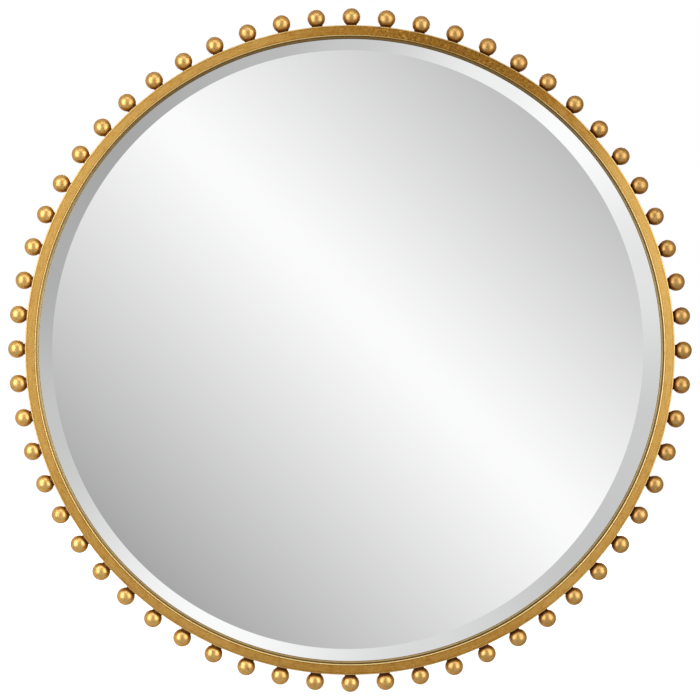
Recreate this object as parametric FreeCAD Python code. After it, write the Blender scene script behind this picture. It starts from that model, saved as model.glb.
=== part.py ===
import FreeCAD, Part
import math
import os

# Round wall mirror: a bevelled pane in an iron hoop with balls welded round the outside.
# Sizes are in millimetres and angles in degrees, clockwise from the top seen from the front.
# The origin is the centre of the disc on the plane of the wall: X runs to the right seen from
# the front, Y runs back into the wall and Z runs up. Depths are measured from the front face.

# Iron hoop with a flat face ring on its front edge
HOOP_DIAMETER = 914.0
HOOP_DEPTH = 25.0
HOOP_WALL = 3.0
HOOP_EDGE_ROUND = 0.8
FACE_WIDTH = 15.0
FACE_THICKNESS = 5.0
FACE_INNER_ROUND = 1.4
FACE_OUTER_ROUND = 1.2

# Lip behind the face ring that the pane is glazed against
LIP_THICKNESS = 2.0
LIP_REACH = 3.6
LIP_ROUND = 0.7

# Balls welded round the hoop by hand, a little off their even pitch
BEAD_DIAMETER = 25.4
BEAD_SINK = 0.25
BEAD_COUNT = 60
BEAD_GROUPS = 12
BEAD_PHASE = 0.11
BEAD_SWAY = 0.16
BEAD_SWAY_TOP = 337.0
BEAD_DOUBLE_SWAY = 0.29
BEAD_DOUBLE_SWAY_TOP = 46.0
WELD_DIAMETER = 13.6
WELD_TOP_DIAMETER = 11.4
WELD_HEIGHT = 2.4

# Silvered pane, set a little off the middle of the hoop
GLASS_CLEARANCE = 5.0
GLASS_THICKNESS = 5.0
GLASS_EDGE = 2.0
GLASS_ARRIS = 0.5
BEVEL_WIDTH = 30.0
PANE_SHIFT_X = -3.2
PANE_SHIFT_Z = 0.6

# Foam and wedges that bed the pane
TAPE_MARGIN = 1.6
TAPE_WIDTH = 5.0
TAPE_LEAST = 1.0
PACKER_COUNT = 6
PACKER_LENGTH = 25.0
STRIP_WIDTH = 20.0
STRIP_THICKNESS = 1.0
STRIP_PLACE_SHARES = (-0.64, -0.32, 0.0, 0.32, 0.64)
STRIP_LENGTH_SHARE = 0.8

# Board that closes the back
BOARD_THICKNESS = 6.0
BOARD_CLEARANCE = 3.0
BOARD_SKIN = 1.0

# Tabs welded inside the hoop that hold the board in
LUG_COUNT = 8
LUG_LENGTH = 29.0
LUG_WIDTH = 18.0
LUG_THICKNESS = 2.0
LUG_ROUND = 5.0
LUG_HOLE_INSET = 18.0

# Pan-head screws with a cross recess
SCREW_DIAMETER = 3.5
SCREW_POINT = 1.6
SCREW_HEAD_DIAMETER = 7.0
SCREW_HEAD_HEIGHT = 2.4
SCREW_HEAD_ROUND = 1.3
SCREW_HOLE_CLEARANCE = 0.2
RECESS_LENGTH = 3.8
RECESS_WIDTH = 0.9
RECESS_DEPTH = 1.2

# Hangers: a welded plate, a strap with a rolled eye and a wire ring that swings in the eye
HANGER_SPREAD = 540.0
HOOK_ROOM = 14.5
PLATE_WIDTH = 44.0
PLATE_THICKNESS = 2.0
PLATE_MARGIN = 5.0
PLATE_ROUND = 6.0
STRAP_WIDTH = 14.0
STRAP_THICKNESS = 1.5
STRAP_ROUND = 4.0
STRAP_SCREW_PITCH = 14.0
STRAP_END_INSET = 9.0
RING_WIRE = 3.0
RING_DROP = 24.0
RING_CORNER_ROUND = 3.5
RING_SIDE_PLAY = 1.0
RING_SCREW_GAP = 3.0
RING_TILT = 2.0
EYE_CLEARANCE = 0.06

# Rubber bumpers between the board and the wall
WALL_GAP = 5.0
BUMPER_DIAMETER = 20.0
BUMPER_TIP_DIAMETER = 15.0
BUMPER_ROUND = 1.5
BUMPER_GAP = 40.0

# How far cutting shapes run past what they cut, and how near two points are one
OVERRUN = 1.0
TOUCH = 0.0001

# Radii
HOOP_OUTER = HOOP_DIAMETER / 2
HOOP_BORE = HOOP_OUTER - HOOP_WALL
FACE_INNER = HOOP_OUTER - FACE_WIDTH
LIP_INNER = FACE_INNER - LIP_REACH
BEAD_RADIUS = BEAD_DIAMETER / 2
GLASS_RADIUS = HOOP_BORE - GLASS_CLEARANCE
BEVEL_INNER = GLASS_RADIUS - BEVEL_WIDTH
TAPE_INNER = LIP_INNER + TAPE_MARGIN
BOARD_RADIUS = HOOP_BORE - BOARD_CLEARANCE
SCREW_RADIUS = SCREW_DIAMETER / 2
SCREW_HOLE = SCREW_RADIUS + SCREW_HOLE_CLEARANCE
WIRE_RADIUS = RING_WIRE / 2
EYE_BORE = WIRE_RADIUS + EYE_CLEARANCE
EYE_OUTER = EYE_BORE + STRAP_THICKNESS

# Depths from the front face, in the order in which the pieces are stacked
FRONT_TO_WALL = HOOP_DEPTH + WALL_GAP
LIP_BACK = FACE_THICKNESS + LIP_THICKNESS
PANE_SHIFT = math.hypot(PANE_SHIFT_X, PANE_SHIFT_Z)
BEVEL_DROP = GLASS_THICKNESS - GLASS_EDGE
BEVEL_UNDER_TAPE = max(0, TAPE_INNER - PANE_SHIFT - BEVEL_INNER)
PANE_FRONT = LIP_BACK + TAPE_LEAST - BEVEL_DROP * BEVEL_UNDER_TAPE / BEVEL_WIDTH
PANE_RIM = PANE_FRONT + BEVEL_DROP
PANE_BACK = PANE_FRONT + GLASS_THICKNESS
BOARD_FRONT = PANE_BACK + STRIP_THICKNESS
BOARD_BACK = BOARD_FRONT + BOARD_THICKNESS
LUG_BACK = BOARD_BACK + LUG_THICKNESS
PLATE_BACK = BOARD_BACK + PLATE_THICKNESS
STRAP_BACK = PLATE_BACK + STRAP_THICKNESS
EYE_DEPTH = PLATE_BACK + EYE_OUTER

# Heights on a hanger, downwards from the wire's axis in the eye
RING_REACH = RING_DROP + WIRE_RADIUS
UPPER_SCREW_DROP = RING_REACH + RING_SCREW_GAP + SCREW_HEAD_DIAMETER / 2
LOWER_SCREW_DROP = UPPER_SCREW_DROP + STRAP_SCREW_PITCH
STRAP_DROP = LOWER_SCREW_DROP + STRAP_END_INSET
PLATE_DROP = STRAP_DROP + PLATE_MARGIN
HANGER_TOP = math.sqrt(HOOP_BORE ** 2 - (HANGER_SPREAD / 2) ** 2)
EYE_HEIGHT = HANGER_TOP - HOOK_ROOM - RING_REACH

# Directions and turns
ORIGIN = FreeCAD.Vector(0, 0, 0)
X_AXIS = FreeCAD.Vector(1, 0, 0)
Y_AXIS = FreeCAD.Vector(0, 1, 0)
Z_AXIS = FreeCAD.Vector(0, 0, 1)
FULL_TURN = 360.0
RIGHT_ANGLE = 90.0


def place(x, depth, z):
    """The point at a depth behind the front face."""
    return FreeCAD.Vector(x, depth - FRONT_TO_WALL, z)


def outline(corners):
    """A closed wire through corners, each a point and the radius that rounds it."""
    pieces = []
    stops = []
    for index, (corner, radius) in enumerate(corners):
        to_last = (corners[index - 1][0] - corner).normalize()
        to_next = (corners[(index + 1) % len(corners)][0] - corner).normalize()
        half = to_last.getAngle(to_next) / 2
        reach = radius / math.tan(half)
        inward = (to_last + to_next).normalize() if radius else ORIGIN
        middle = corner + inward * (radius / math.sin(half) - radius)
        stops.append((corner + to_last * reach, middle, corner + to_next * reach, radius))
    for index, (start, middle, end, radius) in enumerate(stops):
        if radius:
            pieces.append(Part.Arc(start, middle, end).toShape())
        next_start = stops[(index + 1) % len(stops)][0]
        if not end.isEqual(next_start, TOUCH):
            pieces.append(Part.LineSegment(end, next_start).toShape())
    return Part.Wire(pieces)


def turned(corners):
    """A solid turned about the mirror's axis from (radius, depth, round) corners."""
    wire = outline([(place(radius, depth, 0), rounding) for radius, depth, rounding in corners])
    return Part.Face(wire).revolve(ORIGIN, Y_AXIS, FULL_TURN)


def sheet(corners, front, back):
    """A flat piece between two depths from (x, z, round) corners."""
    wire = outline([(place(x, front, z), rounding) for x, z, rounding in corners])
    return Part.Face(wire).extrude(Y_AXIS * (back - front))


def disc(radius, front, back, x=0, z=0):
    """A round piece between two depths."""
    return Part.makeCylinder(radius, back - front, place(x, front, z), Y_AXIS)


def turned_to(shape, angle):
    """A copy of a shape at the top of the mirror, moved round to an angle."""
    return shape.rotated(ORIGIN, Y_AXIS, angle)


def spaced(count):
    """Even angles round the mirror that start half a pitch from the top."""
    pitch = FULL_TURN / count
    return [pitch * (index + 1 / 2) for index in range(count)]


def save(name, *solids):
    """Write one piece, or a group of like pieces."""
    shape = solids[0] if len(solids) == 1 else Part.makeCompound(solids)
    print(name, len(shape.Solids), "valid" if shape.isValid() else "NOT VALID", round(shape.Volume))
    shape.exportStep("parts/" + name + ".step")


def make_face_ring():
    return turned([
        (FACE_INNER, 0, FACE_INNER_ROUND),
        (HOOP_OUTER, 0, FACE_OUTER_ROUND),
        (HOOP_OUTER, FACE_THICKNESS, 0),
        (FACE_INNER, FACE_THICKNESS, 0),
    ])


def make_outer_hoop():
    return turned([
        (HOOP_BORE, FACE_THICKNESS, 0),
        (HOOP_OUTER, FACE_THICKNESS, 0),
        (HOOP_OUTER, HOOP_DEPTH, HOOP_EDGE_ROUND),
        (HOOP_BORE, HOOP_DEPTH, HOOP_EDGE_ROUND),
    ])


def make_glazing_lip():
    return turned([
        (LIP_INNER, FACE_THICKNESS, LIP_ROUND),
        (HOOP_BORE, FACE_THICKNESS, 0),
        (HOOP_BORE, LIP_BACK, 0),
        (LIP_INNER, LIP_BACK, 0),
    ])


def bead_angle(index):
    """Where the welder put a ball: its even place and a slow drift round the hoop."""
    even = FULL_TURN * index / BEAD_COUNT
    sway = BEAD_SWAY * math.cos(math.radians(even - BEAD_SWAY_TOP))
    double_sway = BEAD_DOUBLE_SWAY * math.cos(2 * math.radians(even - BEAD_DOUBLE_SWAY_TOP))
    return even + BEAD_PHASE + sway + double_sway


def make_bead():
    """The ball at the top of the hoop, flush with its face, with the weld that fills in under it."""
    middle = BEAD_RADIUS
    ball = Part.makeSphere(BEAD_RADIUS, place(0, middle, HOOP_OUTER + BEAD_RADIUS - BEAD_SINK))
    taper = (WELD_DIAMETER - WELD_TOP_DIAMETER) / 2 / WELD_HEIGHT
    foot = WELD_DIAMETER / 2 + taper * OVERRUN
    weld = Part.makeCone(foot, WELD_TOP_DIAMETER / 2, WELD_HEIGHT + OVERRUN,
                         place(0, middle, HOOP_OUTER - OVERRUN), Z_AXIS)
    seat = disc(HOOP_OUTER, -OVERRUN, HOOP_DEPTH + OVERRUN)
    return ball.fuse(weld).cut(seat).removeSplitter()


def make_mirror_glass():
    pane = turned([
        (0, PANE_FRONT, 0),
        (BEVEL_INNER, PANE_FRONT, 0),
        (GLASS_RADIUS, PANE_RIM, 0),
        (GLASS_RADIUS, PANE_BACK - GLASS_ARRIS, 0),
        (GLASS_RADIUS - GLASS_ARRIS, PANE_BACK, 0),
        (0, PANE_BACK, 0),
    ])
    return pane.translated(FreeCAD.Vector(PANE_SHIFT_X, 0, PANE_SHIFT_Z))


def make_glazing_tape(pane):
    ring = turned([
        (TAPE_INNER, LIP_BACK, 0),
        (TAPE_INNER + TAPE_WIDTH, LIP_BACK, 0),
        (TAPE_INNER + TAPE_WIDTH, PANE_RIM, 0),
        (TAPE_INNER, PANE_RIM, 0),
    ])
    return ring.cut(pane)


def make_edge_packers():
    """Wedges that fill what is left between the pane's edge and the hoop."""
    inner = GLASS_RADIUS - PANE_SHIFT - OVERRUN
    block = sheet([
        (-PACKER_LENGTH / 2, inner, 0),
        (PACKER_LENGTH / 2, inner, 0),
        (PACKER_LENGTH / 2, HOOP_OUTER, 0),
        (-PACKER_LENGTH / 2, HOOP_OUTER, 0),
    ], PANE_RIM, BOARD_FRONT)
    bore = disc(HOOP_BORE, PANE_RIM - OVERRUN, BOARD_FRONT + OVERRUN)
    rim = disc(GLASS_RADIUS, PANE_RIM - OVERRUN, BOARD_FRONT + OVERRUN, PANE_SHIFT_X, PANE_SHIFT_Z)
    return [turned_to(block, angle).common(bore).cut(rim) for angle in spaced(PACKER_COUNT)]


def make_mounting_tapes():
    strips = []
    for place_share in STRIP_PLACE_SHARES:
        middle = place_share * GLASS_RADIUS
        left = middle - STRIP_WIDTH / 2
        right = middle + STRIP_WIDTH / 2
        half = STRIP_LENGTH_SHARE * math.sqrt(GLASS_RADIUS ** 2 - middle ** 2)
        corners = [(left, -half, 0), (right, -half, 0), (right, half, 0), (left, half, 0)]
        strips.append(sheet(corners, PANE_BACK, BOARD_FRONT))
    return strips


def lug_screw_place(angle):
    radius = HOOP_BORE - LUG_HOLE_INSET
    return radius * math.sin(math.radians(angle)), radius * math.cos(math.radians(angle))


def hanger_screw_places(side):
    x = side * HANGER_SPREAD / 2
    return [(x, EYE_HEIGHT - UPPER_SCREW_DROP), (x, EYE_HEIGHT - LOWER_SCREW_DROP)]


def make_backing_board():
    board = disc(BOARD_RADIUS, BOARD_FRONT, BOARD_BACK)
    places = [lug_screw_place(angle) for angle in spaced(LUG_COUNT)]
    places += hanger_screw_places(-1) + hanger_screw_places(1)
    floor = BOARD_FRONT + BOARD_SKIN
    return board.cut([disc(SCREW_RADIUS, floor, BOARD_BACK + OVERRUN, x, z) for x, z in places])


def make_fixing_lug():
    """The lug at the top of the hoop."""
    inner = HOOP_BORE - LUG_LENGTH
    tab = sheet([
        (-LUG_WIDTH / 2, inner, LUG_ROUND),
        (LUG_WIDTH / 2, inner, LUG_ROUND),
        (LUG_WIDTH / 2, HOOP_OUTER, 0),
        (-LUG_WIDTH / 2, HOOP_OUTER, 0),
    ], BOARD_BACK, LUG_BACK)
    bore = disc(HOOP_BORE, BOARD_BACK - OVERRUN, LUG_BACK + OVERRUN)
    hole = disc(SCREW_HOLE, BOARD_BACK - OVERRUN, LUG_BACK + OVERRUN, 0, HOOP_BORE - LUG_HOLE_INSET)
    return tab.common(bore).cut(hole)


def make_screw(seat, x, z):
    """A screw whose head sits at a depth and whose point stops in the board."""
    point = BOARD_FRONT + BOARD_SKIN
    head_back = seat + SCREW_HEAD_HEIGHT
    screw = turned([
        (0, head_back, 0),
        (SCREW_HEAD_DIAMETER / 2, head_back, SCREW_HEAD_ROUND),
        (SCREW_HEAD_DIAMETER / 2, seat, 0),
        (SCREW_RADIUS, seat, 0),
        (SCREW_RADIUS, point + SCREW_POINT, 0),
        (0, point, 0),
    ])
    slot_floor = head_back - RECESS_DEPTH
    slot = sheet([
        (-RECESS_LENGTH / 2, -RECESS_WIDTH / 2, 0),
        (RECESS_LENGTH / 2, -RECESS_WIDTH / 2, 0),
        (RECESS_LENGTH / 2, RECESS_WIDTH / 2, 0),
        (-RECESS_LENGTH / 2, RECESS_WIDTH / 2, 0),
    ], slot_floor, head_back + OVERRUN)
    return screw.cut([slot, turned_to(slot, RIGHT_ANGLE)]).translated(FreeCAD.Vector(x, 0, z))


def make_hanger_plate(side):
    x = side * HANGER_SPREAD / 2
    bottom = EYE_HEIGHT - PLATE_DROP
    tab = sheet([
        (x - PLATE_WIDTH / 2, bottom, PLATE_ROUND),
        (x + PLATE_WIDTH / 2, bottom, PLATE_ROUND),
        (x + PLATE_WIDTH / 2, HOOP_OUTER, 0),
        (x - PLATE_WIDTH / 2, HOOP_OUTER, 0),
    ], BOARD_BACK, PLATE_BACK)
    bore = disc(HOOP_BORE, BOARD_BACK - OVERRUN, PLATE_BACK + OVERRUN)
    holes = [
        disc(SCREW_HOLE, BOARD_BACK - OVERRUN, PLATE_BACK + OVERRUN, hole_x, hole_z)
        for hole_x, hole_z in hanger_screw_places(side)
    ]
    return tab.common(bore).cut(holes)


def make_hanger_strap(side):
    """A strap that lies on the plate and is rolled into an eye at its top."""
    left = side * HANGER_SPREAD / 2 - STRAP_WIDTH / 2
    right = left + STRAP_WIDTH
    bottom = EYE_HEIGHT - STRAP_DROP
    eye_foot = EYE_HEIGHT - math.sqrt(EYE_OUTER ** 2 - EYE_BORE ** 2)
    roll = Part.Arc(
        place(left, PLATE_BACK, EYE_HEIGHT),
        place(left, EYE_DEPTH + EYE_OUTER, EYE_HEIGHT),
        place(left, STRAP_BACK, eye_foot),
    )
    flat = Part.makePolygon([
        place(left, STRAP_BACK, eye_foot),
        place(left, STRAP_BACK, bottom),
        place(left, PLATE_BACK, bottom),
        place(left, PLATE_BACK, EYE_HEIGHT),
    ])
    side_view = Part.Wire([roll.toShape()] + flat.Edges)
    strip = Part.Face(side_view).extrude(X_AXIS * STRAP_WIDTH)
    eye_top = EYE_HEIGHT + EYE_OUTER + OVERRUN
    rounded = sheet([
        (left, bottom, STRAP_ROUND),
        (right, bottom, STRAP_ROUND),
        (right, eye_top, 0),
        (left, eye_top, 0),
    ], PLATE_BACK - OVERRUN, EYE_DEPTH + EYE_OUTER + OVERRUN)
    bore = Part.makeCylinder(EYE_BORE, STRAP_WIDTH + 2 * OVERRUN,
                             place(left - OVERRUN, EYE_DEPTH, EYE_HEIGHT), X_AXIS)
    holes = [
        disc(SCREW_HOLE, PLATE_BACK - OVERRUN, STRAP_BACK + OVERRUN, hole_x, hole_z)
        for hole_x, hole_z in hanger_screw_places(side)
    ]
    return strip.common(rounded).cut([bore] + holes)


def make_hanger_ring(side):
    """A wire bent to a D: a straight leg in the eye, two corners, two sides and a round end."""
    half = STRAP_WIDTH / 2 + RING_SIDE_PLAY + RING_CORNER_ROUND
    loop = outline([
        (FreeCAD.Vector(-half, 0, 0), RING_CORNER_ROUND),
        (FreeCAD.Vector(half, 0, 0), RING_CORNER_ROUND),
        (FreeCAD.Vector(half, 0, -RING_DROP), half),
        (FreeCAD.Vector(-half, 0, -RING_DROP), half),
    ])
    bend = loop.Edges[0]
    start = bend.FirstParameter
    section = Part.makeCircle(WIRE_RADIUS, bend.valueAt(start), bend.tangentAt(start))
    ring = loop.makePipeShell([Part.Wire(section)], True, False)
    hung = ring.rotated(ORIGIN, X_AXIS, RING_TILT)
    return hung.translated(place(side * HANGER_SPREAD / 2, EYE_DEPTH, EYE_HEIGHT))


def make_wall_bumpers():
    """Bumpers below the hanger plates, and two more as far below the middle."""
    bumper = turned([
        (0, BOARD_BACK, 0),
        (BUMPER_DIAMETER / 2, BOARD_BACK, 0),
        (BUMPER_TIP_DIAMETER / 2, FRONT_TO_WALL, BUMPER_ROUND),
        (0, FRONT_TO_WALL, 0),
    ])
    height = EYE_HEIGHT - PLATE_DROP - BUMPER_GAP - BUMPER_DIAMETER / 2
    half = HANGER_SPREAD / 2
    places = [(half, height), (half, -height), (-half, -height), (-half, height)]
    return [bumper.translated(FreeCAD.Vector(x, 0, z)) for x, z in places]


os.makedirs("parts", exist_ok=True)

save("face_ring", make_face_ring())
save("outer_hoop", make_outer_hoop())
save("glazing_lip", make_glazing_lip())

# Balls, grouped by the hour of the clock that they stand round
bead = make_bead()
group_size = BEAD_COUNT // BEAD_GROUPS
for hour in range(1, BEAD_GROUPS + 1):
    first = hour * group_size - group_size // 2
    places = [bead_angle(index % BEAD_COUNT) for index in range(first, first + group_size)]
    save("beads_%02d_oclock" % hour, *[turned_to(bead, angle) for angle in places])

glass = make_mirror_glass()
save("mirror_glass", glass)
save("glazing_tape", make_glazing_tape(glass))
for number, packer in enumerate(make_edge_packers(), 1):
    save("edge_packer_%d" % number, packer)
for number, strip in enumerate(make_mounting_tapes(), 1):
    save("mounting_tape_%d" % number, strip)
save("backing_board", make_backing_board())

lug = make_fixing_lug()
for number, angle in enumerate(spaced(LUG_COUNT), 1):
    save("fixing_lug_%d" % number, turned_to(lug, angle))
save("lug_screws", *[make_screw(LUG_BACK, *lug_screw_place(angle)) for angle in spaced(LUG_COUNT)])

hanger_screws = []
for name, side in (("left", -1), ("right", 1)):
    save("hanger_plate_" + name, make_hanger_plate(side))
    save("hanger_strap_" + name, make_hanger_strap(side))
    save("hanger_ring_" + name, make_hanger_ring(side))
    hanger_screws += [make_screw(STRAP_BACK, x, z) for x, z in hanger_screw_places(side)]
save("hanger_screws", *hanger_screws)

for number, bumper in enumerate(make_wall_bumpers(), 1):
    save("wall_bumper_%d" % number, bumper)
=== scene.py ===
import math

import bmesh
import bpy
from mathutils import Matrix, Vector, noise


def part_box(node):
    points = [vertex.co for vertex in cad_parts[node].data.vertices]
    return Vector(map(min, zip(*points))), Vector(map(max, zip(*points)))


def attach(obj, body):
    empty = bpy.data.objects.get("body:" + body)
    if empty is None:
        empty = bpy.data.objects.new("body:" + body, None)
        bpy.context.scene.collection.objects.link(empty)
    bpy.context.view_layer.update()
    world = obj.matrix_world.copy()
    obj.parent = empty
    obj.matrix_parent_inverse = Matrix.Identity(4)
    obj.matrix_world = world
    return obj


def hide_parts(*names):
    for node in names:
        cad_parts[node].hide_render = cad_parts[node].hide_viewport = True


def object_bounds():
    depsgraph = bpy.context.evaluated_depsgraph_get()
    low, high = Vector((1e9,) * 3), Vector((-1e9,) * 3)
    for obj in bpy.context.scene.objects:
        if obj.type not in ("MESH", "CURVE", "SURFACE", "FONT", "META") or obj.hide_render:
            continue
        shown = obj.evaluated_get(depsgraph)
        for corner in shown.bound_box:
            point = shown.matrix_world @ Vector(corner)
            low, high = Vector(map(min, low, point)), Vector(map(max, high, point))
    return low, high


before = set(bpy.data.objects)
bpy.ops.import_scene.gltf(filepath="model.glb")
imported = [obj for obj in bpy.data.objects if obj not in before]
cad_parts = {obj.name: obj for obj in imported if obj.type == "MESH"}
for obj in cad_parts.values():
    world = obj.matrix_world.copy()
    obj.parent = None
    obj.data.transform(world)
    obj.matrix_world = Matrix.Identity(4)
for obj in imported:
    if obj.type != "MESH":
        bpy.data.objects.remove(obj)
cad_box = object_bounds()

# Outer hoop: flat iron bar rolled on edge into a hoop and butt-welded closed, which carries every
# other piece. It is gilded outside and sprayed bronze inside, and its back edge is rubbed by handling.
hoop_low, hoop_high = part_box("outer_hoop")
hoop_outer = hoop_high.x
hoop_front = hoop_low.y
hoop_back = hoop_high.y
hoop_wall = 0.003
hoop_bore = hoop_outer - hoop_wall
hoop_edge_round = 0.0008
ring_steps = 480
same_place = 0.00001


def turned(profile, closed=True, steps=ring_steps):
    """A mesh turned about the mirror's axis from (radius, y) corners."""
    mesh = bmesh.new()
    corners = [mesh.verts.new((radius, y, 0)) for radius, y in profile]
    pairs = list(zip(corners, corners[1:]))
    if closed:
        pairs.append((corners[-1], corners[0]))
    edges = [mesh.edges.new(pair) for pair in pairs]
    bmesh.ops.spin(mesh, geom=corners + edges, cent=(0, 0, 0), axis=(0, 1, 0), angle=math.tau,
                   steps=steps, use_merge=True)
    bmesh.ops.remove_doubles(mesh, verts=mesh.verts, dist=same_place)
    return mesh


def turned_bar(inner, outer, front, back):
    """A flat bar rolled into a ring about the mirror's axis."""
    return turned([(inner, front), (outer, front), (outer, back), (inner, back)])


def ease(mesh, edges, rounding, segments):
    """Round some edges of a mesh."""
    bmesh.ops.bevel(mesh, geom=edges, offset=rounding, affect="EDGES", segments=segments, profile=0.5,
                    material=-1)


def round_rim(mesh, radius, y, rounding, segments=5):
    """Round the circular edge that runs at a radius and a y."""
    def on_rim(vert):
        return abs(math.hypot(vert.co.x, vert.co.z) - radius) < same_place and abs(vert.co.y - y) < same_place

    ease(mesh, [edge for edge in mesh.edges if all(on_rim(vert) for vert in edge.verts)], rounding, segments)


def add_piece(name, mesh, finish, slot, body, *nodes, crease=35):
    """Make a piece of a mesh, in its finish, fixed to a body in place of the plain solids."""
    bmesh.ops.recalc_face_normals(mesh, faces=mesh.faces)
    data = bpy.data.meshes.new(name)
    mesh.to_mesh(data)
    mesh.free()
    data.shade_smooth()
    data.set_sharp_from_angle(angle=math.radians(crease))
    data.materials.append(finish)
    piece = bpy.data.objects.new(name, data)
    bpy.context.scene.collection.objects.link(piece)
    flats = piece.modifiers.new("flats_stay_flat", "WEIGHTED_NORMAL")
    flats.keep_sharp = True
    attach(piece, body)
    if nodes:
        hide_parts(*nodes)
    return piece


class Tone:
    """A shader socket: sums on it add Math nodes, and node() adds a node of any other kind."""

    def __init__(self, tree, socket=None):
        self.tree = tree
        self.socket = socket

    def node(self, kind, settings=None, sockets=None, output=0):
        """A new node of a type, with its settings, then the values or links of its sockets."""
        made = self.tree.nodes.new("ShaderNode" + kind)
        for name, value in (settings or {}).items():
            if name == "stops":
                set_stops(made.color_ramp, value)
            elif name == "interpolation":
                made.color_ramp.interpolation = value
            else:
                setattr(made, name, value)
        for name, value in (sockets or {}).items():
            if isinstance(value, Tone):
                self.tree.links.new(value.socket, made.inputs[name])
            else:
                made.inputs[name].default_value = value
        return Tone(self.tree, made.outputs[output] if made.outputs else None)

    def math(self, operation, *values):
        return self.node("Math", {"operation": operation}, dict(enumerate((self, *values))))

    def __add__(self, other):
        return self.math("ADD", other)

    def __sub__(self, other):
        return self.math("SUBTRACT", other)

    def __mul__(self, other):
        return self.math("MULTIPLY", other)

    def __truediv__(self, other):
        return self.math("DIVIDE", other)

    def __pow__(self, other):
        return self.math("POWER", other)

    def __rsub__(self, other):
        return self.node("Math", {"operation": "SUBTRACT"}, {0: other, 1: self})

    def __rtruediv__(self, other):
        return self.node("Math", {"operation": "DIVIDE"}, {0: other, 1: self})

    def __rpow__(self, other):
        return self.node("Math", {"operation": "POWER"}, {0: other, 1: self})

    __radd__ = __add__
    __rmul__ = __mul__


def set_stops(ramp, stops):
    """Put a ramp's stops, each a place from 0 to 1 and a grey level, in order."""
    ends = (ramp.elements[0], ramp.elements[-1])
    for element, (place, level) in zip(ends, (stops[0], stops[-1])):
        element.position = place
        element.color = (level, level, level, 1)
    for place, level in stops[1:-1]:
        ramp.elements.new(place).color = (level, level, level, 1)


def paint(red, green, blue):
    """A colour as it looks on a screen, from 0 to 255, as the light that it gives back."""
    def light(level):
        share = level / 255
        return share / 12.92 if share <= 0.04045 else ((share + 0.055) / 1.055) ** 2.4

    return light(red), light(green), light(blue), 1


def blend(share, first, second):
    """A colour that goes from the first to the second as a share goes from 0 to 1."""
    return share.node("Mix", {"data_type": "RGBA"}, {0: share, 6: first, 7: second}, 2)


def rise(value, low, high):
    """0 below low, 1 above high, and a smooth step between them."""
    return value.node("MapRange", {"interpolation_type": "SMOOTHSTEP"},
                      {"Value": value, "From Min": low, "From Max": high})


def cloud(point, size, detail=3.0, roughness=0.55):
    """Soft mottling from 0 to 1 whose patches are about a size across."""
    return point.node("TexNoise", {}, {"Vector": point, "Scale": 1 / size, "Detail": detail,
                                       "Roughness": roughness})


def crackle(point, size):
    """How far a place lies from the seams of patches of a size, as a share of that size."""
    return point.node("TexVoronoi", {"feature": "DISTANCE_TO_EDGE"}, {"Vector": point, "Scale": 1 / size})


def new_finish(name):
    """A material with nothing in it yet, and the place on the piece that its patterns follow."""
    finish = bpy.data.materials.new(name)
    finish.use_nodes = True
    finish.node_tree.nodes.clear()
    return finish, Tone(finish.node_tree).node("TexCoord", output="Object")


def close_finish(finish, sockets, height=None, height_depth=0.0001):
    """End a material in a surface with these values or links, and a relief of some depth."""
    root = Tone(finish.node_tree)
    if height is not None:
        sockets["Normal"] = root.node("Bump", {}, {"Height": height, "Distance": height_depth}, "Normal")
    shader = root.node("BsdfPrincipled", {}, sockets)
    root.node("OutputMaterial", {}, {"Surface": shader})


def parts_of(point):
    """A place as its x, y and z."""
    return [point.node("SeparateXYZ", {}, {"Vector": point}, axis) for axis in "XYZ"]


def radius_of(x, z):
    """How far a place lies from the mirror's axis."""
    return (x * x + z * z).math("SQRT")


# Leaf colours. The worn pale also paints highlights, and the umber and the red clay also paint shade.
leaf_gold = paint(229, 184, 102)
leaf_amber = paint(158, 111, 42)
leaf_brown = paint(100, 69, 28)
leaf_worn_and_highlight = paint(243, 220, 158)
leaf_edge = paint(152, 110, 50)
umber_and_shade_brown = paint(72, 37, 8)
red_clay_and_shade = paint(138, 84, 30)
leaf_sheet = 0.06
leaf_tear = 0.012
leaf_relief = 0.00012
lacquer_rough = 0.2


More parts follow.
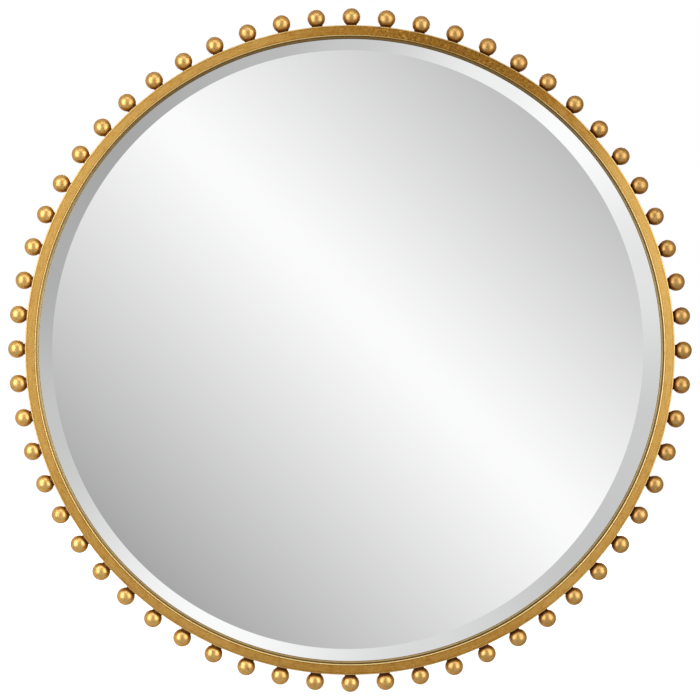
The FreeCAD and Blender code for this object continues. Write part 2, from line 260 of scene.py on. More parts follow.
def gild(finish, point, wash_and_painted_light, umber_and_shade_share, wear_and_highlight, grain, flaws=0.5, polish=0.0, clay_shade=0.0, lacquer=0.0):
    """Gold leaf over red clay: wash tones it, umber fills hollows, wear rubs it pale, grain streaks it. The
    wash, umber, wear and clay shade that a piece passes in may also hold painted shade and painted
    highlights.
    """
    mottle = cloud(point, 0.009, 5, 0.62)
    dabs = cloud(point, 0.005, 3)
    fine = cloud(point, 0.0022, 3)
    sway = point.node("TexNoise", {}, {"Vector": point, "Scale": 60}, "Color")
    torn = point.node("VectorMath", {"operation": "MULTIPLY_ADD"},
                      {0: sway, 1: (leaf_tear, leaf_tear, leaf_tear), 2: point})
    seam = 1 - rise(crackle(torn, leaf_sheet), 0.003, 0.010)
    seam = seam * rise(cloud(point, 0.016, 2), 0.5, 0.62) * flaws
    speck = rise(cloud(point, 0.003, 3), 0.66, 0.71) * rise(cloud(point, 0.013, 2), 0.48, 0.62) * flaws
    # Clay shows where the leaf is thin, and the clay shade adds painted shade in the same red brown.
    thin_leaf_and_shade = rise(mottle, 0.56, 0.74) * 0.22 + clay_shade
    patchy = 0.12 + rise(wash_and_painted_light, 0.40, 0.65)
    spots = ((fine - 0.5) * 1.1 + (dabs - 0.5) * 0.9) * patchy
    tone = wash_and_painted_light + (mottle - 0.5) * 0.26 + spots + (grain - 0.5) * 0.4
    colour = blend(tone * 2, leaf_gold, leaf_amber)
    colour = blend(tone * 2 - 1, colour, leaf_brown)
    colour = blend(thin_leaf_and_shade, colour, red_clay_and_shade)
    # The wear may hold painted highlights, and the umber share may hold painted shade.
    colour = blend(wear_and_highlight * (0.7 + 0.5 * fine), colour, leaf_worn_and_highlight)
    colour = blend((seam * 0.6).math("MAXIMUM", speck * 0.8), colour, umber_and_shade_brown)
    colour = blend(umber_and_shade_share, colour, umber_and_shade_brown)
    rough = 0.30 - polish + 0.16 * mottle + 0.12 * tone + 0.22 * umber_and_shade_share
    metal = 0.96 - 0.12 * umber_and_shade_share - 0.3 * seam
    height = mottle * 0.6 + fine * 0.3 + grain * 0.2 - seam * 0.5 - speck * 0.4
    sockets = {"Base Color": colour, "Roughness": rough, "Metallic": metal, "Specular Tint": leaf_edge}
    if lacquer:
        sockets["Coat Weight"] = lacquer * (1 - umber_and_shade_share)
        sockets["Coat Roughness"] = lacquer_rough
    close_finish(finish, sockets, height, leaf_relief)


hoop_finish, hoop_point = new_finish("gilded_hoop")
hoop_x, hoop_y, hoop_z = parts_of(hoop_point)
hoop_radius = radius_of(hoop_x, hoop_z)
hoop_inside = 1 - rise(hoop_radius, hoop_bore + 0.0002, hoop_bore + 0.0012)
hoop_wash = 0.18 + 0.28 * cloud(hoop_point, 0.12, 3)
hoop_wear = rise(hoop_y, hoop_back - 0.0016, hoop_back - 0.0003) * 0.8
hoop_umber = (hoop_inside * 0.7).math("MAXIMUM", 1 - rise(hoop_y, hoop_front + 0.0001, hoop_front + 0.0012))
gild(hoop_finish, hoop_point, hoop_wash, hoop_umber, hoop_wear, cloud(hoop_point, 0.003, 4))

hoop = turned_bar(hoop_bore, hoop_outer, hoop_front, hoop_back)
round_rim(hoop, hoop_outer, hoop_back, hoop_edge_round)
round_rim(hoop, hoop_bore, hoop_back, hoop_edge_round)
add_piece("hoop", hoop, hoop_finish, "gold_hoop", "mirror", "outer_hoop")

# Face ring: flat bar rolled the flat way and welded to the front edge of the hoop. The joint is dressed
# flush, its edges are eased by hand, and the leaf on it is toned darker in stretches. Its eased edges are
# painted pale, partly as wear and partly as painted highlights, and its inner edge is painted more golden.
face_low, face_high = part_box("face_ring")
face_front = face_low.y
face_back = face_high.y
face_width = 0.0148
face_inner = hoop_outer - face_width
face_inner_round = 0.0014
face_outer_round = 0.0012
roller_lines = 650


def turn_of(x, z):
    """How far round the mirror a place lies, from 0 at the top, clockwise seen from the front, to 1."""
    return (x.math("ARCTAN2", z) / math.tau + 1).math("FRACT")


def levels_round(turn, stops):
    """Levels met one after another on the way round the mirror, each at its place from 0 to 1."""
    return turn.node("ValToRGB", {"interpolation": "EASE", "stops": stops}, {0: turn})


def rolling_lines(point, x, z, lines):
    """Fine lines that run round the bar, left by the rollers, so many to a radian."""
    radius = radius_of(x, z)
    place = point.node("CombineXYZ", {}, {"X": x / radius * lines, "Y": radius * roller_lines,
                                          "Z": z / radius * lines})
    return cloud(place, 1.0, 3, 0.6)


face_finish, face_point = new_finish("gilded_face")
face_x, face_y, face_z = parts_of(face_point)
face_radius = radius_of(face_x, face_z)
face_wash = levels_round(turn_of(face_x, face_z), [
    (0, 0.48), (0.045, 0.69), (0.085, 0.64), (0.125, 0.37), (0.165, 0.11), (0.208, 0.06), (0.25, 0.12),
    (0.34, 0.28), (0.38, 0.26), (0.42, 0.37), (0.5, 0.40), (0.58, 0.29), (0.66, 0.32), (0.72, 0.23),
    (0.83, 0.17), (0.95, 0.28), (1, 0.48),
])
face_inner_edge = 1 - rise(face_radius, face_inner + 0.0006, face_inner + 0.0013)
face_outer_edge = rise(face_radius, hoop_outer - 0.0016, hoop_outer - 0.0006)
face_under = 1 - rise(face_radius, face_inner + 0.002, hoop_bore)
face_hollow = rise(face_y, face_front + 0.0018, face_front + 0.004) * face_under
face_side = (face_x / face_radius) ** 2
# Painted highlight: the eased inner and outer edges are painted pale, partly as wear and partly as the
# highlights that they catch, less at the sides and where the leaf is toned dark.
face_wear_and_highlight = face_inner_edge * (1 - 0.2 * face_side) * (1 - 0.75 * rise(face_wash, 0.45, 0.58))
face_wear_and_highlight = face_wear_and_highlight.math("MAXIMUM", face_outer_edge * 0.55)
face_beside = rise(face_radius, face_inner + 0.0011, face_inner + 0.0016)
face_beside = face_beside * (1 - rise(face_radius, face_inner + 0.0021, face_inner + 0.0030))
face_by_rim = rise(face_radius, hoop_outer - 0.0036, hoop_outer - 0.0026) * (1 - face_outer_edge)
face_beside = face_beside + 0.6 * face_by_rim
# Painted highlight: the inner edge is painted more golden where the leaf is toned dark.
face_tone_and_highlight = face_wash + 0.16 * face_beside - 0.4 * face_inner_edge * rise(face_wash, 0.40, 0.58)
gild(face_finish, face_point, face_tone_and_highlight, face_hollow, face_wear_and_highlight,
     rolling_lines(face_point, face_x, face_z, 40))

face = turned_bar(face_inner, hoop_outer, face_front, face_back)
round_rim(face, face_inner, face_front, face_inner_round)
round_rim(face, hoop_outer, face_front, face_outer_round)
add_piece("face", face, face_finish, "gold_face", "mirror", "face_ring")

# Glazing lip: thin flat ring tacked inside the hoop behind the face ring, with the pane bedded behind it.
# Its gilding is thinner and greener. Painted shade darkens the corner under the face ring and the top of
# the lip, and painted light makes its sides and bottom paler.
lip_low, lip_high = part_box("glazing_lip")
lip_front = lip_low.y
lip_back = lip_high.y
lip_shows = 0.0034
lip_inner = face_inner - lip_shows
lip_round = 0.0007
lip_tan = paint(206, 180, 124)
lip_olive = paint(134, 107, 56)
lip_shade = paint(74, 50, 18)

lip_finish, lip_point = new_finish("olive_lip")
lip_x, _, lip_z = parts_of(lip_point)
lip_radius = radius_of(lip_x, lip_z)
lip_right = lip_x / lip_radius
lip_down = rise(0 - lip_z / lip_radius, 0.4, 1.0)
# Painted shade in the corner under the face ring, strongest at the right and at the bottom.
lip_shade_weight = 0.26 + 0.26 * lip_right + 0.5 * lip_down
lip_corner_shade = rise(lip_radius, face_inner - 0.0026, face_inner - 0.0012) * lip_shade_weight
# Painted shade: the top of the lip is darker too.
lip_painted_shade = lip_corner_shade.math("MAXIMUM", rise(lip_z / lip_radius, 0.2, 0.9) * 0.3)
lip_patch = cloud(lip_point, 0.012, 4)
lip_fine = rolling_lines(lip_point, lip_x, lip_z, 9)
# Painted light: the lip goes from olive to tan at the sides and at the bottom.
lip_side_light = lip_right ** 4 * (0.85 - 0.15 * lip_right) + 0.5 * lip_down
lip_colour = blend(lip_side_light - (lip_patch - 0.5) * 0.4, lip_olive, lip_tan)
lip_colour = blend(rise(lip_fine, 0.5, 0.8) * 0.3, lip_colour, lip_shade)
lip_colour = blend(lip_painted_shade, lip_colour, lip_shade)
close_finish(lip_finish, {"Base Color": lip_colour, "Roughness": 0.4 + 0.2 * lip_patch, "Metallic": 0.8},
             lip_patch + lip_fine * 0.5)

lip = turned_bar(lip_inner, hoop_bore, lip_front, lip_back)
round_rim(lip, lip_inner, lip_front, lip_round, 3)
add_piece("lip", lip, lip_finish, "gold_lip", "mirror", "glazing_lip")

# Balls: sixty one-inch iron balls welded round the hoop by hand, five to each hour of the clock. Each sits
# on a collar of weld. Painted shade darkens each ball where it meets the hoop and round its rim, more on the
# balls at the right and top and near the hoop on the lower balls, and the front is painted paler as a
# highlight.
ball_count = 60
hour_balls = ball_count // 12
ball_radius = 0.0127
ball_sink = 0.00025
ball_from_axis = hoop_outer + ball_radius - ball_sink
ball_y = face_front + ball_radius
ball_dents = 0.00014
weld_foot = 0.0082
weld_top = 0.0074
weld_height = 0.0022
drift_all = 0.11
drift_once, drift_once_from = 0.16, math.radians(337)
drift_twice, drift_twice_from = 0.29, math.radians(92)

ball_finish, ball_point = new_finish("gilded_balls")
ball_x, ball_depth, ball_z = parts_of(ball_point)
ball_out = radius_of(ball_x, ball_z)
ball_rise = ball_out - hoop_outer
# Painted shade: the balls at the right and at the top are washed darker, as if less lit.
ball_side_shade = 0.5 + (0.45 * ball_x + 0.21 * ball_z) / ball_out
ball_low = 0.5 - 0.5 * ball_z / ball_out
ball_ragged = ball_rise + (cloud(ball_point, 0.004, 3) - 0.5) * 0.003
# Painted shade round each ball's rim as seen from the front, laid on as wash and as umber.
ball_rim_shade = rise(ball_depth, ball_y - 0.0075, ball_y - 0.0010)
ball_rim_shade = ball_rim_shade * (1 - 0.7 * rise(ball_depth, ball_y + 0.002, ball_y + 0.008))
# Painted shade where ball and hoop meet, wider on the balls at the right.
ball_contact_shade = 1 - rise(ball_ragged - 0.0018 * ball_side_shade, 0.0001, 0.0030)
ball_contact_shade = ball_contact_shade.math("MAXIMUM", 0.05 * ball_rim_shade)
# Painted shade near the hoop, stronger on the balls low on the hoop, laid on as wash and as clay brown.
ball_shaded = 1 - rise(ball_ragged - 0.0015 * ball_side_shade, 0.0010, 0.0075)
ball_shaded = ball_shaded * (0.45 + 0.85 * ball_low)
ball_wash_and_shade = 0.06 + 0.14 * cloud(ball_point, 0.03, 2) + 0.29 * ball_side_shade + 0.26 * ball_shaded
ball_wash_and_shade = ball_wash_and_shade + 0.1 * ball_rim_shade
# Painted highlight: the front of each ball is painted a little paler, more on the balls at the right, beside
# the random wear.
ball_front_highlight = 1 - rise(ball_depth, face_front + 0.0012, face_front + 0.0036)
ball_wear_and_highlight = 0.03 + 0.18 * rise(cloud(ball_point, 0.006, 3), 0.5, 0.7) + 0.03 * ball_front_highlight * ball_side_shade
gild(ball_finish, ball_point, ball_wash_and_shade, ball_contact_shade, ball_wear_and_highlight, cloud(ball_point, 0.004, 3),
     flaws=0.7, polish=0.05, clay_shade=0.75 * ball_shaded, lacquer=0.55)


def ball_angle(index):
    """Where the welder set a ball: its even place and a drift of a few tenths of a degree."""
    even = math.tau * index / ball_count
    drift = drift_all + drift_once * math.cos(even - drift_once_from)
    return even + math.radians(drift + drift_twice * math.cos(2 * even - drift_twice_from))


def add_ball(mesh, index):
    """In an empty mesh, a ball at the top of the hoop with small dents and its collar of weld."""
    middle = Vector((0, ball_y, ball_from_axis))
    bmesh.ops.create_icosphere(mesh, subdivisions=4, radius=ball_radius, matrix=Matrix.Translation(middle))
    seed = Vector((index * 3.1, index * 1.7, 0))
    for vert in mesh.verts:
        out = (vert.co - middle).normalized()
        dent = 0.5 + 0.5 * noise.fractal(out * 2.2 + seed, 0.8, 2.0, 3)
        vert.co = middle + out * (ball_radius - ball_dents * max(0, min(1, dent)))
    cut = bmesh.ops.bisect_plane(mesh, geom=mesh.verts[:] + mesh.edges[:] + mesh.faces[:],
                                 plane_co=(0, 0, hoop_outer), plane_no=(0, 0, 1), clear_inner=True)
    rim = [item for item in cut["geom_cut"] if isinstance(item, bmesh.types.BMEdge)]
    bmesh.ops.contextual_create(mesh, geom=rim)
    collar = bmesh.ops.create_cone(mesh, cap_ends=True, segments=32, radius1=weld_foot, radius2=weld_top,
                                   depth=weld_height,
                                   matrix=Matrix.Translation((0, ball_y, hoop_outer + weld_height / 2)))
    for vert in collar["verts"]:
        side = Vector((vert.co.x, vert.co.y - ball_y, 0))
        lump = 1 + 0.07 * noise.noise(side.normalized() * 3 + seed)
        vert.co = Vector((0, ball_y, vert.co.z)) + side * lump


for hour in range(1, 13):
    balls = bmesh.new()
    for step in range(hour_balls * hour - 2, hour_balls * hour + 3):
        index = step % ball_count
        one = bmesh.new()
        add_ball(one, index)
        bmesh.ops.rotate(one, verts=one.verts, cent=(0, 0, 0),
                         matrix=Matrix.Rotation(ball_angle(index), 3, "Y"))
        kept = bpy.data.meshes.new("one_ball")
        one.to_mesh(kept)
        one.free()
        balls.from_mesh(kept)
        bpy.data.meshes.remove(kept)
    add_piece("balls_%02d" % hour, balls, ball_finish, "gold_beads", "mirror", "beads_%02d_oclock" % hour)

# Pane: 5 mm float glass cut round, with a wide bevel ground and polished on its front, then silvered and
# painted grey on its back. It sits a little to the left in the hoop.
pane_low, pane_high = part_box("mirror_glass")
pane_middle = (pane_low + pane_high) / 2
pane_radius = pane_high.x - pane_middle.x
pane_front = pane_low.y
pane_back = pane_high.y
pane_edge = 0.002
pane_arris = 0.0005
bevel_width = 0.030
bevel_inner = pane_radius - bevel_width
bevel_wide = 0.9935
bevel_tall = 1.0065
silver = (0.965, 0.968, 0.968, 1)
silver_bevel = (0.95, 0.955, 0.957, 1)
back_paint = paint(120, 124, 122)

pane_finish, pane_point = new_finish("silvered_glass")
pane_x, pane_y, pane_z = parts_of(pane_point)
pane_out = radius_of((pane_x - pane_middle.x) / bevel_wide, (pane_z - pane_middle.z) / bevel_tall)
on_bevel = rise(pane_out, bevel_inner - 0.0002, bevel_inner + 0.0002)
behind = rise(pane_y, pane_back - pane_edge + 0.0002, pane_back - pane_edge + 0.0006)
streak = pane_out.node("TexNoise", {"noise_dimensions": "1D"}, {"W": pane_out, "Scale": 700, "Detail": 2})
pane_colour = blend(on_bevel * streak, silver, silver_bevel)
pane_colour = blend(behind, pane_colour, back_paint)
pane_rough = 0.012 + 0.004 * on_bevel * streak + 0.5 * behind
close_finish(pane_finish, {"Base Color": pane_colour, "Roughness": pane_rough, "Metallic": 1 - behind})

pane = turned([
    (0, pane_front),
    (bevel_inner, pane_front),
    (pane_radius, pane_back - pane_edge),
    (pane_radius, pane_back - pane_arris),
    (pane_radius - pane_arris, pane_back),
    (0, pane_back),
], closed=False)
ground_edge = [vert for vert in pane.verts
               if vert.co.y < pane_front + same_place and vert.co.xz.length > same_place]
bmesh.ops.scale(pane, verts=ground_edge, vec=(bevel_wide, 1, bevel_tall))
bmesh.ops.translate(pane, verts=pane.verts, vec=(pane_middle.x, 0, pane_middle.z))
pane_piece = add_piece("pane", pane, pane_finish, "mirror", "mirror", "mirror_glass", crease=2)

# Glazing tape: a ring of white closed-cell foam, stuck to the back of the lip, that the bevel is pressed
# into. Its back follows the slope of the glass, so it is thinner on one side than on the other.
tape_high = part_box("glazing_tape")[1]
tape_width = 0.005
tape_outer = tape_high.x
tape_inner = tape_outer - tape_width
tape_round = 0.0003
foam_white = paint(226, 225, 216)
foam_shade = paint(186, 184, 172)

foam_finish, foam_point = new_finish("white_foam")
foam_cells = crackle(foam_point, 0.0007)
foam_soil = cloud(foam_point, 0.02, 4)
foam_dirt = rise(foam_soil, 0.45, 0.75) * 0.6 + (1 - rise(foam_cells, 0.0, 0.2)) * 0.3
foam_colour = blend(foam_dirt, foam_white, foam_shade)
close_finish(foam_finish, {"Base Color": foam_colour, "Roughness": 0.8 + 0.15 * foam_soil},
             foam_cells, 0.00015)

tape = turned_bar(tape_inner, tape_outer, lip_back, tape_high.y)
for vert in tape.verts:
    if vert.co.y > lip_back + same_place:
        from_middle = math.hypot(vert.co.x - pane_middle.x, vert.co.z - pane_middle.z)
        slope_share = (from_middle - bevel_inner) / bevel_width
        vert.co.y = pane_front + slope_share * (pane_back - pane_edge - pane_front)
ease(tape, [edge for edge in tape.edges if edge.calc_face_angle(0) > 1], tape_round, 2)
tape_piece = add_piece("glazing_foam", tape, foam_finish, "foam", "mirror", "glazing_tape")

# Edge packers: six wedges cut from a sheet of pressed cork, which is ground cork bonded with glue. They are
# pushed in between the edge of the pane and the hoop, so that the pane can't shift.
cork_tan = paint(188, 146, 98)
cork_brown = paint(112, 74, 42)


def dress(finish, *nodes):
    """Give solids whose shape is right their finish."""
    for node in nodes:
        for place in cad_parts[node].material_slots:
            place.material = finish


cork_finish, cork_point = new_finish("pressed_cork")
cork_grain = cork_point.node("TexVoronoi", {}, {"Vector": cork_point, "Scale": 450}, "Color")
cork_pale = cork_grain.node("SeparateColor", {}, {"Color": cork_grain})
cork_colour = blend(cork_pale * 0.7 + cloud(cork_point, 0.001, 2) * 0.3, cork_tan, cork_brown)
close_finish(cork_finish, {"Base Color": cork_colour, "Roughness": 0.75 + 0.2 * cork_pale}, cork_pale, 0.0002)
dress(cork_finish, *["edge_packer_%d" % number for number in range(1, 7)])

# Mounting tapes: five strips of double-sided tape, of the same foam as the glazing tape, cut from a roll.
# They are pressed flat between the pane and the board and stick the two together.
strip_round = 0.0003
for number in range(1, 6):
    strip_low, strip_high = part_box("mounting_tape_%d" % number)
    strip_place = Matrix.Translation((strip_low + strip_high) / 2)
    strip_size = Matrix.Diagonal((*(strip_high - strip_low), 1))
    strip = bmesh.new()
    bmesh.ops.create_cube(strip, size=1, matrix=strip_place @ strip_size)
    ease(strip, strip.edges[:], strip_round, 2)
    strip_piece = add_piece("mounting_foam_%d" % number, strip, foam_finish, "foam", "mirror",
                            "mounting_tape_%d" % number)

# Backing board: a disc of raw 6 mm fibreboard sawn round, which closes the back and takes the screws.
# Its face is smooth and faintly speckled with fibres, with scuffs from the workshop.
board_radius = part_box("backing_board")[1].x
board_tan = paint(170, 134, 96)
board_dark = paint(124, 90, 58)
board_pale = paint(198, 166, 128)

board_finish, board_point = new_finish("raw_fibreboard")
board_x, _, board_z = parts_of(board_point)
board_out = radius_of(board_x, board_z)
fibre_place = board_point.node("Mapping", {}, {"Vector": board_point, "Rotation": (0, 0.6, 0),
                                               "Scale": (1, 1, 4)})
fibre = cloud(fibre_place, 0.003, 4, 0.7)
fleck = rise(cloud(board_point, 0.0012, 2), 0.62, 0.72)
damp = cloud(board_point, 0.18, 4)
scuff_place = board_point.node("Mapping", {}, {"Vector": board_point, "Rotation": (0, 0.9, 0),
                                               "Scale": (14, 1, 1)})
scuff = rise(cloud(scuff_place, 0.25, 2), 0.66, 0.74) * rise(cloud(board_point, 0.09, 2), 0.52, 0.62)
board_sawn = rise(board_out, board_radius - 0.0035, board_radius - 0.0005)
board_colour = blend(rise(damp, 0.35, 0.7) * 0.34 + fibre * 0.6, board_tan, board_dark)
board_colour = blend(fleck * 0.5, board_colour, board_dark)
board_colour = blend(scuff * 0.55, board_colour, board_pale)
board_colour = blend(board_sawn * 0.6, board_colour, board_dark)
close_finish(board_finish, {"Base Color": board_colour, "Roughness": 0.62 + 0.2 * fibre + 0.1 * scuff},
             fibre + fleck * 0.5, 0.00012)
dress(board_finish, "backing_board")

# Fixing lugs and hanger plates: tabs cut from 2 mm iron strip and welded inside the hoop, with the weld
# left as it came. They are sprayed bronze with the inside of the hoop.
lug_count = 8
lug_width = 0.018
weld_pitch = 0.0024
weld_lump = 0.0021
spray_bronze = paint(150, 122, 74)
spray_dark = paint(92, 70, 38)
spray_pale = paint(182, 154, 100)

spray_finish, spray_point = new_finish("bronze_spray")
spray_mist = cloud(spray_point, 0.004, 5, 0.7)
spray_drift = cloud(spray_point, 0.03, 3)
spray_peel = cloud(spray_point, 0.0011, 2)
spray_colour = blend(rise(spray_drift, 0.35, 0.7), spray_bronze, spray_dark)
spray_colour = blend(rise(spray_mist, 0.52, 0.72) * 0.5, spray_colour, spray_pale)
close_finish(spray_finish, {"Base Color": spray_colour, "Roughness": 0.42 + 0.25 * spray_mist,
                            "Metallic": 0.55}, spray_peel + spray_mist * 0.6, 0.00016)
dress(spray_finish, *["fixing_lug_%d" % number for number in range(1, lug_count + 1)])
dress(spray_finish, "hanger_plate_left", "hanger_plate_right")


def add_weld(mesh, first_turn, last_turn, y):
    """A row of weld ripples in the corner between a tab and the bore of the hoop."""
    length = hoop_bore * (last_turn - first_turn)
    ripples = round(length / weld_pitch)
    for ripple in range(ripples + 1):
        turn = first_turn + (last_turn - first_turn) * ripple / ripples
        swell = 0.85 + 0.3 * noise.noise(Vector((turn * 97, y * 50, ripple * 1.3)))
        place = Matrix.Rotation(turn, 4, "Y") @ Matrix.Translation((0, y, hoop_bore))
        lump = place @ Matrix.Diagonal((weld_lump * swell, weld_lump * 0.8 * swell,
                                        weld_lump * 0.9 * swell, 1))
        made = bmesh.ops.create_icosphere(mesh, subdivisions=2, radius=1, matrix=lump)
        for vert in made["verts"]:
            share = min(1, (hoop_bore + hoop_wall / 2) / math.hypot(vert.co.x, vert.co.z))
            vert.co = Vector((vert.co.x * share, vert.co.y, vert.co.z * share))


welds = bmesh.new()
lug_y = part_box("fixing_lug_1")[1].y
half_lug = lug_width / 2 / hoop_bore
for number in range(lug_count):
    middle_turn = math.tau * (number + 0.5) / lug_count
    add_weld(welds, middle_turn - half_lug, middle_turn + half_lug, lug_y)
for node in ("hanger_plate_left", "hanger_plate_right"):
    plate_low, plate_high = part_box(node)
    add_weld(welds, math.asin(plate_low.x / hoop_bore), math.asin(plate_high.x / hoop_bore), plate_high.y)
add_piece("tab_welds", welds, spray_finish, "back_iron", "mirror")

# Hangers: a zinc-plated steel strap screwed to each plate, with its end rolled into an eye. The eye holds a
# ring of plated wire, bent to a D, which swings up to meet the hook on the wall.
zinc = paint(196, 198, 200)
zinc_dull = paint(146, 148, 150)
zinc_bright = paint(226, 228, 230)

strap_finish, strap_point = new_finish("plated_strap")
rolled_place = strap_point.node("Mapping", {}, {"Vector": strap_point, "Scale": (16, 1, 1)})
rolled = cloud(rolled_place, 0.012, 3, 0.6)
spangle = cloud(strap_point, 0.005, 3)
strap_colour = blend(rise(spangle, 0.4, 0.65), zinc, zinc_dull)
strap_colour = blend(rise(rolled, 0.55, 0.7) * 0.5, strap_colour, zinc_bright)
close_finish(strap_finish, {"Base Color": strap_colour, "Roughness": 0.26 + 0.2 * spangle, "Metallic": 1.0},
             rolled, 0.00004)
dress(strap_finish, "hanger_strap_left", "hanger_strap_right")

wire_finish, wire_point = new_finish("plated_wire")
wire_dull = cloud(wire_point, 0.004, 4, 0.65)
wire_scratch = rise(cloud(wire_point, 0.0008, 2), 0.6, 0.75)
wire_colour = blend(rise(wire_dull, 0.4, 0.7), zinc_bright, zinc_dull)
close_finish(wire_finish, {"Base Color": wire_colour, "Roughness": 0.2 + 0.22 * wire_dull, "Metallic": 1.0},
             wire_dull + wire_scratch * 0.3, 0.00004)
dress(wire_finish, "hanger_ring_left", "hanger_ring_right")

# Screws: zinc-plated pan heads with a cross recess. Eight hold the lugs to the board and four hold the
# straps, and grime has dulled their plating in patches.
screw_zinc = paint(188, 184, 170)
screw_grime = paint(70, 62, 48)
screw_finish, screw_point = new_finish("plated_screws")
screw_stain = cloud(screw_point, 0.0025, 4)
screw_colour = blend(rise(screw_stain, 0.5, 0.75) * 0.6, screw_zinc, screw_grime)
close_finish(screw_finish, {"Base Color": screw_colour, "Roughness": 0.28 + 0.24 * screw_stain,
                            "Metallic": 1.0}, screw_stain, 0.00005)
dress(screw_finish, "lug_screws", "hanger_screws")

# Wall bumpers: four moulded rubber feet stuck to the board, which keep the frame off the wall. Each has a
# small moulding dimple in its face.
bumper_radius = 0.010
bumper_tip = 0.0075
bumper_flange = 0.0012
bumper_round = 0.0015
bumper_dimple = 0.0028
bumper_dimple_depth = 0.0005
rubber_black = paint(34, 34, 35)
rubber_bloom = paint(74, 73, 70)

rubber_finish, rubber_point = new_finish("black_rubber")
rubber_dust = cloud(rubber_point, 0.006, 4, 0.65)
rubber_grain = cloud(rubber_point, 0.0006, 2)
rubber_colour = blend(rise(rubber_dust, 0.45, 0.75) * 0.6, rubber_black, rubber_bloom)
close_finish(rubber_finish, {"Base Color": rubber_colour, "Roughness": 0.55 + 0.25 * rubber_dust},
             rubber_grain + rubber_dust * 0.4, 0.00008)
for number in range(1, 5):
    bumper_low, bumper_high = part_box("wall_bumper_%d" % number)
    bumper_middle = (bumper_low + bumper_high) / 2
    bumper = turned([
        (0, bumper_low.y),
        (bumper_radius, bumper_low.y),
        (bumper_radius, bumper_low.y + bumper_flange),
        (bumper_radius - bumper_flange / 2, bumper_low.y + bumper_flange),
        (bumper_tip, bumper_high.y),
        (bumper_dimple, bumper_high.y),
        (bumper_dimple - bumper_dimple_depth, bumper_high.y - bumper_dimple_depth),
        (0, bumper_high.y - bumper_dimple_depth),
    ], closed=False, steps=64)
    round_rim(bumper, bumper_tip, bumper_high.y, bumper_round)
    bmesh.ops.translate(bumper, verts=bumper.verts, vec=(bumper_middle.x, 0, bumper_middle.z))
    add_piece("bumper_%d" % number, bumper, rubber_finish, "rubber", "mirror", "wall_bumper_%d" % number)

# Camera: level with the middle of the mirror and square to it. It stands far enough off for a long lens, so
# that the sides of the balls and of the hoop hardly show.
camera_distance = 4.5
view_width = 0.9844
camera = bpy.data.objects.new("camera", bpy.data.cameras.new("camera"))
bpy.context.scene.collection.objects.link(camera)
camera.location = (0, face_front - camera_distance, 0)
camera.rotation_euler = (math.radians(90), 0, 0)
camera.data.lens = camera.data.sensor_width * camera_distance / view_width
bpy.context.scene.camera = camera

# Studio: a pale floor under the mirror, a white world, two soft boxes in front, one lamp overhead and one
# behind. The pane mirrors a glowing card in front of it, whose toned band and rim are a painted reflection,
# and the gilding mirrors a glowing flag round the sides, painted lighter on the left as painted light. The
# camera sees neither of them.
white = (1, 1, 1, 1)
black = (0, 0, 0, 1)
ambient = 0.5
floor_size = 40
floor_grey = (0.8, 0.8, 0.8, 1)
floor_lift = 0.64


def add_stage(name, mesh, finish, seen_by):
    """A thing of the studio that only some kinds of ray can see."""
    data = bpy.data.meshes.new(name)
    mesh.to_mesh(data)
    mesh.free()
    data.materials.append(finish)
    thing = bpy.data.objects.new(name, data)
    bpy.context.scene.collection.objects.link(thing)
    for ray in ("camera", "diffuse", "glossy", "transmission", "volume_scatter", "shadow"):
        setattr(thing, "visible_" + ray, ray in seen_by)


def seen_directly(tree):
    """1 for rays from the camera, or by way of metal or glass."""
    camera_ray, glossy_ray, glass_ray = [Tone(tree).node("LightPath", output="Is %s Ray" % kind)
                                         for kind in ("Camera", "Glossy", "Transmission")]
    return camera_ray.math("MAXIMUM", glossy_ray).math("MAXIMUM", glass_ray)


world = bpy.data.worlds.new("white_studio")
world.use_nodes = True
world.node_tree.nodes.clear()
bpy.context.scene.world = world
sky = Tone(world.node_tree)
sky_strength = ambient + (1 - ambient) * seen_directly(world.node_tree)
sky_shader = sky.node("Background", {}, {"Color": white, "Strength": sky_strength})
sky.node("OutputWorld", {}, {"Surface": sky_shader})

floor_finish, _ = new_finish("pale_floor")
floor_root = Tone(floor_finish.node_tree)
floor_paint = floor_root.node("BsdfDiffuse", {}, {"Color": floor_grey})
floor_glow = floor_root.node("Emission", {}, {"Strength": floor_lift * seen_directly(floor_finish.node_tree)})
floor_both = floor_root.node("AddShader", {}, {0: floor_paint, 1: floor_glow})
floor_root.node("OutputMaterial", {}, {"Surface": floor_both})
floor = bmesh.new()
bmesh.ops.create_grid(floor, x_segments=1, y_segments=1, size=floor_size,
                      matrix=Matrix.Translation((0, 0, cad_box[0].z)))
add_stage("floor", floor, floor_finish, ("camera", "diffuse", "shadow"))

card_distance = 6
card_y = face_front - card_distance
card_size = 6
card_strength = 1.03
card_beyond = 0.80
band_shift = 0.16
band_spacing = 3.3
band_fall = 1.31
band_softness = 0.0006

card_finish, card_point = new_finish("grey_card")
card_x, _, card_z = parts_of(card_point)
card_radius = radius_of(card_x, card_z)
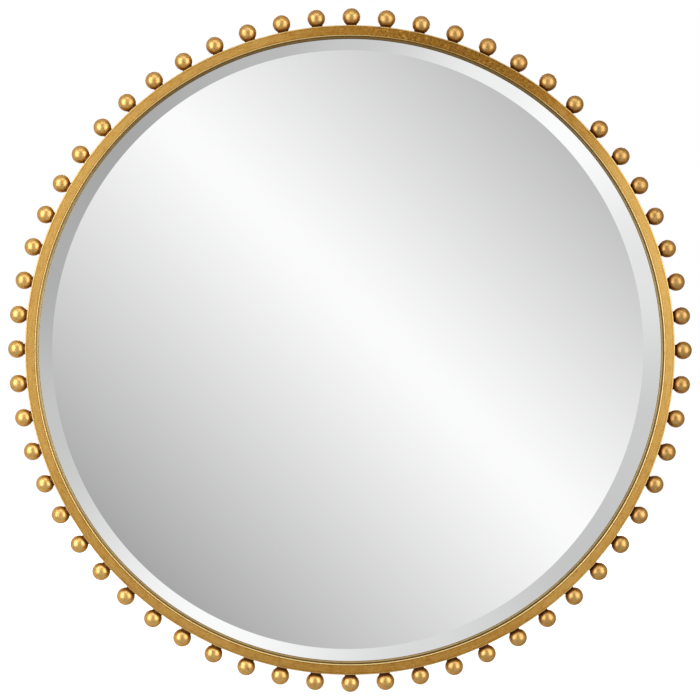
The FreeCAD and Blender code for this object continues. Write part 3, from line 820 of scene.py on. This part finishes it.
# Painted reflection: the card glows with a diagonal band for the pane and with tones round its rim for the
# bevel.
card_wave = ((card_x + card_z - band_shift) / band_spacing + 0.5).math("FRACT") - 0.5
card_band = 1.0 - band_fall * (card_wave * card_wave + band_softness).math("SQRT")
card_rim = levels_round(turn_of(card_x, card_z), [
    (0, 0.58), (0.083, 0.87), (0.125, 0.98), (0.21, 0.775), (0.29, 0.6), (0.36, 0.555), (0.46, 0.7),
    (0.57, 0.97), (0.71, 0.565), (0.79, 0.43), (0.86, 0.385), (0.96, 0.49), (1, 0.58),
])
card_rim_share = rise(card_radius, 1.5, 2.0) * (1 - rise(card_radius, 2.4, 2.9))
card_tone = card_band + (card_rim - card_band) * card_rim_share
card_tone = card_tone + (card_beyond - card_tone) * rise(card_radius, 4.4, 6.0)
card_colour = blend(card_tone, black, white)
card_root = Tone(card_finish.node_tree)
card_glow = card_root.node("Emission", {}, {"Color": card_colour, "Strength": card_strength})
card_root.node("OutputMaterial", {}, {"Surface": card_glow})
card = bmesh.new()
card_place = Matrix.Translation((0, card_y, 0)) @ Matrix.Rotation(math.radians(-90), 4, "X")
bmesh.ops.create_circle(card, cap_ends=True, segments=96, radius=card_size, matrix=card_place)
add_stage("card", card, card_finish, ("glossy",))

# Painted light: the flag glows brighter and warmer on the left than on the right, so the balls at the left
# look brighter.
flag_left = (0.98, 0.88, 0.70, 1)
flag_right = (0.62, 0.54, 0.37, 1)
flag_by_card = (0.824, 0.824, 0.824, 1)
flag_beside = (0.68, 0.665, 0.64, 1)
flag_curve = [(6.0, card_y), (3.4, -0.6), (2.6, 0.6), (2.5, 4.0)]

flag_finish, flag_point = new_finish("warm_flag")
flag_x, flag_y, _ = parts_of(flag_point)
flag_warm = blend(rise(flag_x, -2.0, 2.0), flag_left, flag_right)
flag_pale = blend(rise(flag_y, card_y, -2.0), flag_by_card, flag_beside)
flag_colour = blend(rise(flag_y, -1.0, 1.2), flag_pale, flag_warm)
flag_root = Tone(flag_finish.node_tree)
flag_glow = flag_root.node("Emission", {}, {"Color": flag_colour, "Strength": 1.0})
flag_root.node("OutputMaterial", {}, {"Surface": flag_glow})
flag = turned(flag_curve, closed=False, steps=96)
add_stage("flag", flag, flag_finish, ("glossy",))

kept_dark = bpy.data.collections.new("lamps_not_seen_in")
kept_dark.objects.link(pane_piece)
kept_dark.collection_objects[0].light_linking.link_state = "EXCLUDE"


def add_lamp(name, place, size, power):
    """A soft box that faces the middle of the mirror and isn't seen in the pane."""
    lamp = bpy.data.objects.new(name, bpy.data.lights.new(name, "AREA"))
    bpy.context.scene.collection.objects.link(lamp)
    lamp.data.shape = "RECTANGLE"
    lamp.data.size, lamp.data.size_y = size
    lamp.data.energy = power
    lamp.location = place
    lamp.rotation_euler = (-Vector(place)).to_track_quat("-Z", "Y").to_euler()
    lamp.light_linking.receiver_collection = kept_dark


box_distance = 3.0
box_angle = math.radians(48)
box_height = 0.55
box_size = (2.3, 3.6)
box_across = box_distance * math.sin(box_angle)
box_forward = box_distance * math.cos(box_angle)
add_lamp("left_box", (-box_across, -box_forward, box_height), box_size, 66)
add_lamp("right_box", (box_across, -box_forward, box_height), box_size, 54)
add_lamp("overhead", (0, -1.6, 2.7), (2.4, 1.4), 16)
add_lamp("behind", (0, 4.5, 0.9), (2.4, 2.0), 66)

bpy.context.scene.view_settings.view_transform = "Standard"
